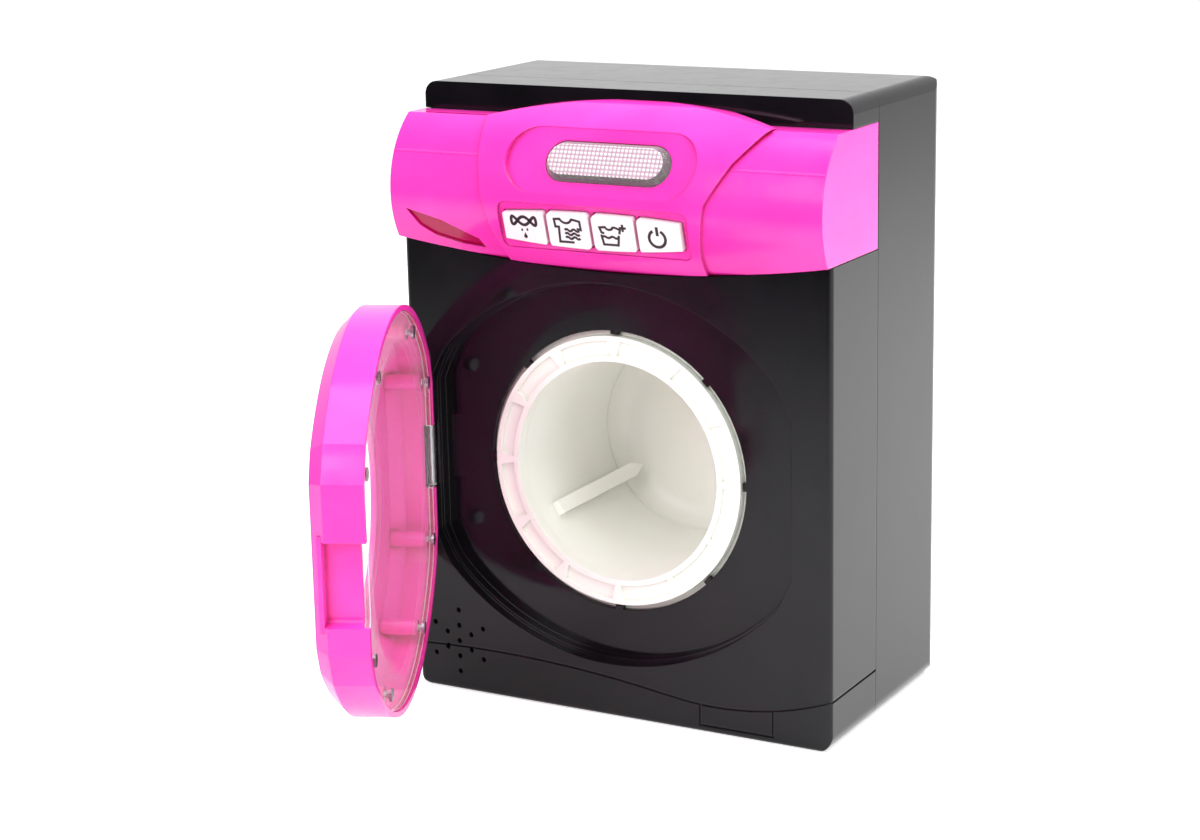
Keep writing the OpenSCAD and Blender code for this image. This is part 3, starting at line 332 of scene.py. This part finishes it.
def make_materials():
    """One material for each of the record's slots, put on every CAD node."""
    slots = {
        "casing_black": plastic("black_gloss", (0.004, 0.004, 0.005), (0.007, 0.006, 0.008), (0.07, 0.16),
            wave=0.12 * MM, edge=0.5 * MM, constants={"IOR": 1.33}),
        # The pink's crease colour is painted shade in its corners and creases
        "panel_pink": plastic("pink_gloss", (0.95, 0.052, 0.49), (0.91, 0.038, 0.43), (0.12, 0.22),
            wave=0.05 * MM, edge=0.5 * MM, crease_shade=(0.5, 0.004, 0.12),
            # painted shade: dark red on the floor of the wing's crescent slot
            painted_shade=(wing_slot_floor, (0.42, 0.0, 0.07)), ridge=(wing_line, 0.25 * MM),
            constants={"IOR": 1.47}),
        "clear": clear_plastic("clear_liner", (0.97, 0.98, 0.99), (0.02, 0.07)),
        # The buttons' crease colour is painted shade, tinted pink, in the gaps between them
        "button_white": plastic("button_satin", (0.9, 0.9, 0.89), (0.86, 0.86, 0.85), (0.25, 0.38),
            grain=0.004 * MM, edge=0.5 * MM, crease_shade=(0.85, 0.42, 0.62)),
        # The drum's crease colour is painted shade in its corners and creases
        "drum_white": plastic("drum_satin", (0.95, 0.97, 0.91), (0.93, 0.95, 0.87), (0.28, 0.42),
            wave=0.05 * MM, grain=0.004 * MM, edge=0.35 * MM, crease_shade=(0.84, 0.86, 0.78)),
        "gear_white": plastic("gear_acetal", (0.82, 0.81, 0.76), (0.76, 0.75, 0.7), (0.35, 0.5),
            grain=0.006 * MM),
        "gearbox_blue": plastic("gearbox_plain", (0.03, 0.08, 0.3), (0.025, 0.065, 0.25), (0.35, 0.5),
            grain=0.01 * MM),
        "steel": metal("steel_plated", (0.56, 0.57, 0.6), (0.46, 0.47, 0.49), (0.2, 0.4), (1, 1, 0.1)),
        "brass": metal("brass_sintered", (0.58, 0.42, 0.18), (0.5, 0.35, 0.14), (0.35, 0.5), (1, 1, 1)),
        "board_green": circuit_board("board_lacquer"),
        "rubber_grey": plastic("rubber_mat", (0.24, 0.25, 0.27), (0.2, 0.21, 0.23), (0.6, 0.75),
            grain=0.01 * MM),
        "black_plastic": plastic("plain_black", (0.02, 0.02, 0.022), (0.03, 0.03, 0.032), (0.4, 0.55),
            grain=0.012 * MM),
        "battery_blue": battery_sleeve("battery_print"),
    }
    for part in frame["record"]["subparts"]:
        node = frame["nodes"][part["node"]]
        node.data.materials.clear()
        node.data.materials.append(slots[part["material_slot"]])


# Pieces

def arc(x, y, r, start, end, count=24):
    angles = [math.radians(start + (end - start) * i / count) for i in range(count + 1)]
    return [(x + r * math.cos(a), y + r * math.sin(a)) for a in angles]


def mesh_data(name, mesh):
    """Turns the working mesh into a finished one, with its faces outward."""
    bmesh.ops.recalc_face_normals(mesh, faces=mesh.faces)
    data = bpy.data.meshes.new(name)
    mesh.to_mesh(data)
    mesh.free()
    return data


def add_piece(name, data, material):
    data.materials.append(material)
    piece = bpy.data.objects.new(name, data)
    bpy.context.scene.collection.objects.link(piece)
    return piece


def on_bulge(tilt):
    """The bulge's own frame, turned up by the tilt."""
    return Matrix.Translation(BULGE_CENTRE) @ Matrix.Rotation(math.radians(-tilt), 4, "X")


def stadium(half_w, half_h, count=20):
    """Outline of a slot with round ends, anticlockwise, in X and Z."""
    reach = half_w - half_h
    return arc(reach, 0, half_h, -90, 90, count) + arc(-reach, 0, half_h, 90, 270, count)


def make_lens():
    """A clear skirt that narrows to a beaded face, from the lens's rings."""
    mesh = bmesh.new()
    rings = []
    for y, w, h in LENS_RINGS:
        rings.append([mesh.verts.new((x * MM, y * MM, z * MM)) for x, z in stadium(w, h)])
    for low, high in zip(rings, rings[1:]):
        for i in range(len(low)):
            j = (i + 1) % len(low)
            mesh.faces.new((low[i], low[j], high[j], high[i]))
    mesh.faces.new(rings[-1])
    mesh.faces.new(rings[0][::-1])
    data = mesh_data("lens_dome", mesh)
    data.transform(on_bulge(LENS_TILT) @ Matrix.Translation((LENS_X, -BULGE_R, 0)))
    for face in data.polygons:
        face.use_smooth = len(face.vertices) == 4
    piece = add_piece("lens_dome", data, lamp_lens("lens_beads"))
    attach(piece, "machine")
    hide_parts("lens")


# Button symbols, drawn in millimetres from the middle of each button, as lines and filled blots

def wave_line(x0, x1, y, height, swings):
    count = 8 * swings
    return [(x0 + (x1 - x0) * i / count, y + height * math.sin(math.pi * 2 * swings * i / count))
        for i in range(count + 1)]


def drop(x, y, r):
    return [(x, y + 2.2 * r), *arc(x, y, r, 30, -210, 16), (x, y + 2.2 * r)]


def towel_symbol():
    """A towel wrung into three loops, with drops falling from it."""
    loop = [(5.1 * math.cos(t), 2.7 + 1.6 * math.sin(3 * t))
        for t in (math.pi * 2 * i / 72 for i in range(73))]
    return [loop], [drop(-1.2, -1.0, 0.4), drop(1.0, -0.8, 0.4), drop(-0.1, -3.4, 0.72)]


def shirt_symbol():
    """A shirt whose lower half is under three waves."""
    left = [(5.0, 0.7), (4.9, 3.9), (2.2, 4.5), *arc(-0.7, 5.6, 2.6, -25, -155, 10), (-5.4, 4.3),
        (-5.2, 1.4), (-3.8, 1.4), (-4.2, -4.4), (1.6, -4.4)]
    waves = [wave_line(-1.6, 4.3, y, 0.4, 2) for y in (0.3, -1.2, -2.7)]
    return [[(3.4, 1.0), *left], *waves], []


def tub_symbol():
    """A small shirt dipping into a tub, with a plus sign."""
    shirt = [(2.3, 0.2), (2.8, 1.8), (0.9, 2.6), *arc(-1.6, 3.3, 1.7, -25, -155, 8), (-5.4, 2.3),
        (-4.8, 0.4), (-3.7, 0.2)]
    tub = [(-5.0, -0.4), (-4.5, -4.2), (1.3, -4.2), (2.0, -0.4)]
    water = wave_line(-4.8, 1.8, -1.3, 0.3, 2)
    return [shirt, tub, water, [(3.9, 1.2), (3.9, 4.0)], [(2.5, 2.6), (5.3, 2.6)]], []


def power_symbol():
    """An open ring with a stroke standing in its gap."""
    return [arc(-0.9, -0.5, 3.2, 118, 422, 36), [(-0.7, 0.6), (-0.7, 4.0)]], []


def ribbon(mesh, points, width):
    """Adds a flat line of that width along the points, with square ends."""
    closed = (Vector(points[0]) - Vector(points[-1])).length < 1e-6
    line = [Vector(p) for p in points]
    sides = []
    for i, p in enumerate(line):
        before = line[i - 1] if i else (line[-2] if closed else p)
        after = line[i + 1] if i + 1 < len(line) else (line[1] if closed else p)
        way_in = (p - before).normalized() if p != before else (after - p).normalized()
        way_out = (after - p).normalized() if p != after else way_in
        along = (way_in + way_out).normalized()
        across = Vector((-along.y, along.x))
        reach = width / 2 / max(0.5, across.dot(Vector((-way_out.y, way_out.x))))
        sides.append([mesh.verts.new((*(p + across * reach * s), 0)) for s in (-1, 1)])
    for a, b in zip(sides, sides[1:]):
        mesh.faces.new((a[0], b[0], b[1], a[1]))


def make_symbols():
    """Prints each symbol on its button. Each has a key, its drawing and its lines' width."""
    ink = plastic("symbol_ink", (0.012, 0.012, 0.014), (0.02, 0.02, 0.022), (0.3, 0.45),
        grain=0.002 * MM)
    symbols = (("towel", towel_symbol(), 1.15), ("shirt", shirt_symbol(), 0.9),
        ("tub", tub_symbol(), 0.9), ("power", power_symbol(), 1.1))
    for i, (key, (lines, blots), width) in enumerate(symbols):
        mesh = bmesh.new()
        for line in lines:
            ribbon(mesh, line, width)
        for blot in blots:
            mesh.faces.new([mesh.verts.new((*p, 0)) for p in blot[:-1]])
        data = mesh_data("symbol_" + key, mesh)
        centre = Vector((TRAY_X + (i - 1.5) * BUTTON_PITCH, -BULGE_R - BUTTON_RISE - PRINT_T / 2, 0))
        stand = Matrix.Rotation(math.radians(90), 4, "X") @ Matrix.Scale(MM, 4)
        data.transform(on_bulge(TRAY_TILT) @ Matrix.Translation(centre) @ stand)
        piece = add_piece("symbol_" + key, data, ink)
        thick = piece.modifiers.new("thickness", "SOLIDIFY")
        thick.thickness = PRINT_T
        thick.offset = 0
        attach(piece, key + "_key")


# Stage and light

def make_stage():
    """A floor of white paper, which is open when it is seen from below."""
    data = bpy.data.meshes.new("floor")
    corners = ((-1, -1), (1, -1), (1, 1), (-1, 1))
    data.from_pydata([(x * FLOOR_HALF, y * FLOOR_HALF, FLOOR_Z) for x, y in corners], [], [(0, 1, 2, 3)])
    floor = bpy.data.objects.new("floor", data)
    bpy.context.scene.collection.objects.link(floor)
    n = Nodes("floor_white")
    n.tree.nodes.remove(n.shader)
    path = n.add("ShaderNodeLightPath").outputs
    mirrored = n.math("MAXIMUM", path["Is Glossy Ray"], path["Is Transmission Ray"])
    lit = n.spread(n.split(n.place)["Y"], 0, 1, PAPER_END)
    paper = n.blend(n.noise(3), (0.84, 0.84, 0.84), (0.86, 0.86, 0.86))
    matt = n.add("ShaderNodeBsdfDiffuse", {"Color": n.blend(lit, (0.06, 0.06, 0.06), paper)}).outputs[0]
    fill = n.math("MULTIPLY", path["Is Camera Ray"], n.spread(lit, BARE_GLOW, PAPER_GLOW, (0, 1)))
    shine = n.math("MULTIPLY", n.math("MULTIPLY", mirrored, lit), MIRRORED_GLOW)
    glow = n.add("ShaderNodeEmission", {"Strength": n.math("ADD", fill, shine)}).outputs[0]
    both = n.add("ShaderNodeAddShader", {0: matt, 1: glow}).outputs[0]
    under = n.add("ShaderNodeNewGeometry").outputs["Backfacing"]
    open_below = n.add("ShaderNodeMixShader", {0: under, 1: both,
        2: n.add("ShaderNodeBsdfTransparent").outputs[0]}).outputs[0]
    n.tree.links.new(open_below, n.tree.nodes["Material Output"].inputs["Surface"])
    data.materials.append(n.material)


def make_world():
    """White where it is seen, dim to the front in reflections, and an even fill otherwise."""
    world = bpy.data.worlds.new("studio")
    bpy.context.scene.world = world
    world.use_nodes = True
    tree = world.node_tree
    path = add_node(tree, "ShaderNodeLightPath").outputs
    direction = add_node(tree, "ShaderNodeTexCoord").outputs["Generated"]
    room = add_node(tree, "ShaderNodeMapRange", {
        "Value": add_node(tree, "ShaderNodeSeparateXYZ", {0: direction}).outputs["Y"],
        "From Min": WORLD_FRONT_TO_BACK[0], "From Max": WORLD_FRONT_TO_BACK[1],
        "To Min": WORLD_MIRRORED[0], "To Max": WORLD_MIRRORED[1]}).outputs["Result"]
    mirrored = add_node(tree, "ShaderNodeMath", {0: path["Is Glossy Ray"], 1: path["Is Transmission Ray"]},
        operation="MAXIMUM").outputs[0]
    inside = add_node(tree, "ShaderNodeMix", {"Factor": mirrored, "A": WORLD_FILL, "B": room}).outputs[0]
    level = add_node(tree, "ShaderNodeMix", {"Factor": path["Is Camera Ray"], "A": inside,
        "B": WORLD_SEEN}).outputs[0]
    background = tree.nodes["Background"]
    background.inputs["Color"].default_value = (1, 1, 1, 1)
    tree.links.new(level, background.inputs["Strength"])


def area_light(name, place, target, size, power):
    data = bpy.data.lights.new(name, "AREA")
    data.shape = "SQUARE"
    data.size = size
    data.energy = power
    light = bpy.data.objects.new(name, data)
    light.location = place
    light.rotation_mode = "QUATERNION"
    light.rotation_quaternion = (Vector(target) - Vector(place)).to_track_quat("-Z", "Y")
    bpy.context.scene.collection.objects.link(light)


bpy.context.scene.view_settings.view_transform = "Standard"
make_camera()
make_materials()
make_lens()
make_symbols()
make_stage()
make_world()
for lamp in LAMPS:
    area_light(*lamp)
